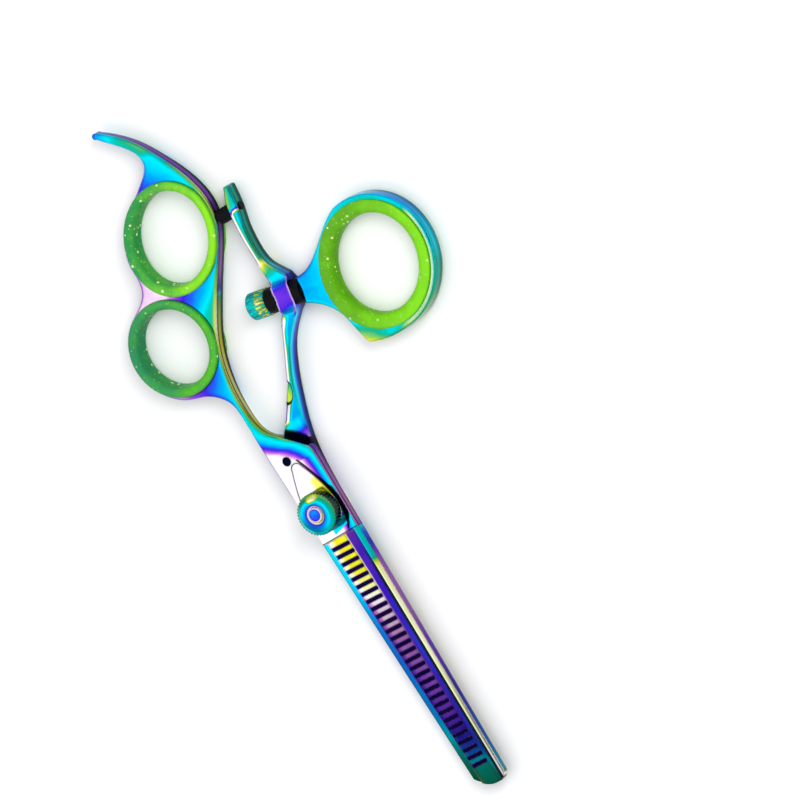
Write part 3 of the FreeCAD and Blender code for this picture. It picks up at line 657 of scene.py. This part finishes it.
def leaf_shade(shader, site):
    # Painted shade along the leaf's edge towards +y, beside the wall of its recess.
    rim = shader.profile(site.x, [(-12, 0.7), (-8, 2.25), (-4, 3.55), (0, 4.1), (5, 3.0)])
    return shader.mapped(shader.minus(site.y, rim), -0.1, 0.3, 1.0, 0.05)


def swivel_film(shader, site):
    # Painted highlights: golden glints in streaks on part of the knurled head.
    highlight_streak = shader.noise(site.where, 0.55, 2.0, (1.0, 0.25, 1.0))
    headward = shader.reach((site.x, site.y), THUMB_CENTRE, SWIVEL_DIR)
    gold_glint = shader.times(shader.window(headward, *SWIVEL_GOLD, 0.3), shader.mapped(highlight_streak, 0.42, 0.60))
    return shader.blend(gold_glint, shader.add(0.99, shader.times(highlight_streak, -0.06)), GOLD)


def swivel_shade(shader, site):
    # Painted highlights and shade in streaks along the knurl.
    highlight_streak = shader.noise(site.where, 0.45, 2.0, (1.0, 0.25, 1.0))
    return shader.mapped(highlight_streak, 0.3, 0.7, 0.45, 1.3)


def bare_film(shader, site):
    return shader.add(1.50, shader.times(site.own[2], 0.1))


def pin_film(shader, site):
    return shader.add(1.16, shader.times(site.close[0], 0.05))


def pin_shade(shader, site):
    # Painted shade: the pin is kept nearly black, as dark as the hole it stands in, with a faint
    # painted glint towards +x.
    return shader.mapped(site.close[0], -0.1, 0.3, 0.012, 0.04)


# ---- gel, rubber and floor ---------------------------------------------------------------
def flakes(shader, where, size, share, radius):
    """Random round flakes: one where a flake lies and nothing elsewhere."""
    cells = shader.node("ShaderNodeTexVoronoi", {"Vector": where, "Scale": 1.0 / size})
    pick = shader.facing(cells.outputs["Color"])[0]
    chosen = shader.math("GREATER_THAN", pick, 1.0 - share)
    near = shader.mapped(cells.outputs["Distance"], radius, radius - 0.08)
    return shader.times(chosen, near)


def glitter_gel(name, centre, left, right):
    """Translucent gel with glitter flakes in it, greener on one side of its ring."""
    shader = Shader(bpy.data.materials.new(name))
    where, x, y = shader.place()[:3]
    own = shader.facing()
    across = shader.reach((x, y), centre, RING_ACROSS)
    cloud = shader.noise(where, 3.5, 3.0)
    side = shader.add(shader.mapped(across, -11.0, 11.0), shader.mapped(cloud, 0.3, 0.7, -0.25, 0.25))
    colour = shader.mix(side, left, right)
    # Painted shade: the upright faces, most of all inside the ring's hole, lean halfway to a darker
    # copy of the left colour.
    wall = shader.mapped(shader.math("ABSOLUTE", own[2]), 0.75, 0.1)
    shade_colour = tuple(0.70 * part for part in left)
    colour = shader.mix(shader.times(wall, 0.5), colour, shade_colour)
    large = flakes(shader, where, 1.15, 0.16, 0.30)
    small = flakes(shader, where, 0.50, 0.12, 0.34)
    colour = shader.mix(shader.times(small, 0.45), colour, (0.50, 0.80, 0.22))
    colour = shader.mix(shader.times(large, 0.9), colour, (0.90, 1.00, 0.50))
    dips = shader.bump(shader.noise(where, 1.6, 2.0), 0.06, 0.3)
    gel = shader.node("ShaderNodeBsdfPrincipled", {
        "Base Color": colour, "Roughness": shader.add(0.20, shader.times(cloud, 0.12)),
        "Normal": dips, "Metallic": shader.times(large, 0.6), "IOR": 1.42,
        "Specular IOR Level": shader.mapped(wall, 0.0, 1.0, 0.22, 0.04),
        "Subsurface Weight": 0.25, "Subsurface Radius": (0.8, 1.6, 0.3), "Subsurface Scale": 0.001,
        "Coat Weight": shader.mapped(wall, 0.0, 0.5, 0.10, 0.0), "Coat Roughness": 0.10})
    return shader.finish(gel.outputs[0])


def black_rubber(name, grain):
    """Black rubber or nylon with a fine moulded grain and greyer worn edges."""
    shader = Shader(bpy.data.materials.new(name))
    where = shader.place()[0]
    speckle = shader.noise(where, grain, 4.0)
    wear = edge_wear(shader, 0.18)
    colour = shader.mix(shader.mapped(speckle, 0.3, 0.7), (0.0008, 0.0008, 0.0016),
                        (0.004, 0.004, 0.006))
    colour = shader.mix(shader.times(wear, 0.5), colour, (0.022, 0.024, 0.030))
    surface = shader.node("ShaderNodeBsdfPrincipled", {
        "Base Color": colour, "Roughness": shader.add(0.42, shader.times(speckle, 0.2)),
        "Specular IOR Level": 0.10, "Normal": shader.bump(speckle, 0.02, 0.6)})
    return shader.finish(surface.outputs[0])


def floor_paint():
    """Plain pale floor with the faintest mottling."""
    shader = Shader(bpy.data.materials.new("floor_paint"))
    where = shader.place()[0]
    colour = shader.mix(shader.noise(where, 60.0), (0.90, 0.90, 0.90), (0.92, 0.92, 0.92))
    surface = shader.node("ShaderNodeBsdfPrincipled", {"Base Color": colour, "Roughness": 0.9})
    return shader.finish(surface.outputs[0])


def paint(node, material):
    """Give a CAD node a material on all of its slots."""
    mesh = NODES[node].data
    mesh.materials.clear()
    mesh.materials.append(material)


# ---- camera -----------------------------------------------------------------------------
RIGHT = Vector((0.5075, 0.7307, -0.4566))      # the picture's own right, in the scene
TOWARD = Vector((0.0, 0.5299, 0.8480))         # from the shears to the camera
UP = TOWARD.cross(RIGHT).normalized()
SEEN_WIDTH = 177.0 * MM                        # width of the view at the shears
PIVOT_AT = Vector((0, 0, 3.2 * MM))            # where the pivot axis meets the blades
AIM_RIGHT = 15.73 * MM                         # the middle of the view from the pivot
AIM_UP = 23.72 * MM
LENS = 600.0
SENSOR = 36.0


def make_camera():
    """Long lens above the thumb side, turned so that the blades point down to the right."""
    data = bpy.data.cameras.new("camera")
    data.lens = LENS
    data.sensor_width = SENSOR
    camera = bpy.data.objects.new("camera", data)
    bpy.context.scene.collection.objects.link(camera)
    aim = PIVOT_AT + RIGHT * AIM_RIGHT + UP * AIM_UP
    distance = SEEN_WIDTH * LENS / SENSOR
    turn = Matrix((RIGHT, UP, TOWARD)).transposed().to_4x4()
    camera.matrix_world = Matrix.Translation(aim + TOWARD * distance) @ turn
    data.clip_start = 0.05
    data.clip_end = distance * 4
    bpy.context.scene.camera = camera


# ---- light --------------------------------------------------------------------------------
# Name, place, target and size in metres, and watts of each lamp.
LAMPS = [
    ("key_light", (-0.20, 0.72, 0.62), (-0.02, 0.01, 0.0), (0.45, 0.45), 5.0),
    ("top_light", (0.1, 0.10, 0.90), (0.0, 0.0, 0.0), (0.8, 0.8), 1.4),
]
ROOM_STRENGTH = 0.85
# The room's colours from the horizon, and anywhere under it, to straight up.
ROOM = [
    (0.00, (0.42, 0.43, 0.46)),
    (0.30, (0.70, 0.72, 0.75)),
    (0.75, (1.00, 1.00, 1.00)),
    (1.00, (0.90, 0.91, 0.94)),
]
DARK_SIDE = Vector((0.0, 0.97, 0.20))
DARK_COLOUR = (0.10, 0.10, 0.12)
BRIGHT_SIDE = Vector((0.0, -0.53, 0.85))
BRIGHT_GAIN = 1.45


def area_light(name, place, target, size, watts):
    """White lamp that lights the shears but isn't seen or mirrored itself."""
    data = bpy.data.lights.new(name, "AREA")
    data.shape = "RECTANGLE"
    data.size, data.size_y = size
    data.energy = watts
    lamp = bpy.data.objects.new(name, data)
    lamp.location = place
    lamp.rotation_euler = (Vector(target) - Vector(place)).to_track_quat("-Z", "Y").to_euler()
    lamp.visible_camera = False
    lamp.visible_glossy = False
    bpy.context.scene.collection.objects.link(lamp)


def make_world():
    """White room: brighter above and behind, with a dark patch low on the camera's side."""
    world = bpy.data.worlds.new("room")
    shader = Shader(world, "ShaderNodeOutputWorld")
    way = shader.node("ShaderNodeTexCoord").outputs["Generated"]
    walls = shader.ramp(shader.facing(way)[2], ROOM)
    patch = shader.mapped(shader.dot(way, DARK_SIDE.normalized()), 0.82, 0.96, smooth=True)
    glow = shader.mapped(shader.dot(way, BRIGHT_SIDE.normalized()), 0.86, 0.97, ROOM_STRENGTH,
                         ROOM_STRENGTH * BRIGHT_GAIN, smooth=True)
    room = shader.node("ShaderNodeBackground", {
        "Color": shader.mix(patch, walls, DARK_COLOUR), "Strength": glow})
    bpy.context.scene.world = shader.finish(room.outputs[0])


FLOOR_HALF = 3.0               # metres from the middle of the floor to its sides


def make_stage():
    """Floor and lamps."""
    mesh = bpy.data.meshes.new("floor")
    half = FLOOR_HALF
    mesh.from_pydata([(-half, -half, 0), (half, -half, 0), (half, half, 0), (-half, half, 0)], [],
                     [(0, 1, 2, 3)])
    floor = bpy.data.objects.new("floor", mesh)
    bpy.context.scene.collection.objects.link(floor)
    mesh.materials.append(floor_paint())
    for lamp in LAMPS:
        area_light(*lamp)


# ---- finishing the CAD nodes ---------------------------------------------------------------
# Node, material, film, shade and roughness of each coated piece.
COATED = [
    ("toothed_half", "toothed_coat", toothed_film, toothed_shade, 0.09),
    ("plain_half", "plain_coat", plain_film, plain_shade, 0.09),
    ("thumb_ring", "thumb_ring_coat", ring_film, ring_shade, 0.09),
    ("tension_knob", "knob_coat", knob_film, knob_shade, 0.12),
    ("pivot_screw", "screw_coat", screw_film, None, 0.16),
    ("tension_leaf", "leaf_coat", leaf_film, leaf_shade, 0.09),
    ("swivel_screw", "swivel_coat", swivel_film, swivel_shade, 0.2),
    ("leaf_pin", "pin_coat", pin_film, pin_shade, 0.25),
    ("knob_washer", "washer_coat", bare_film, None, 0.25),
]
# The gels' linear colours at the two sides of their rings.
GELS = {
    "thumb_insert": ((0.100, 0.350, 0.004), (0.200, 0.640, 0.003)),
    "finger_insert_large": ((0.020, 0.280, 0.060), (0.240, 0.700, 0.006)),
    "finger_insert_small": ((0.020, 0.240, 0.090), (0.080, 0.440, 0.014)),
}
NYLON_NODES = ("swivel_bush_ring_side", "swivel_bush_screw_side", "ride_washer", "pivot_bush")


def finish_metal():
    for node, *coat in COATED:
        paint(node, coated_steel(*coat))


def finish_soft():
    for node, (left, right) in GELS.items():
        low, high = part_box(node)
        centre = (low + high) / (2 * MM)
        paint(node, glitter_gel(node + "_gel", centre, left, right))
    rubber = black_rubber("black_rubber", 0.35)
    nylon = black_rubber("black_nylon", 0.6)
    paint("silencer", rubber)
    for node in NYLON_NODES:
        paint(node, nylon)


def main():
    make_camera()
    make_world()
    make_stage()
    finish_metal()
    finish_soft()
    bpy.context.scene.view_settings.view_transform = "Standard"


main()
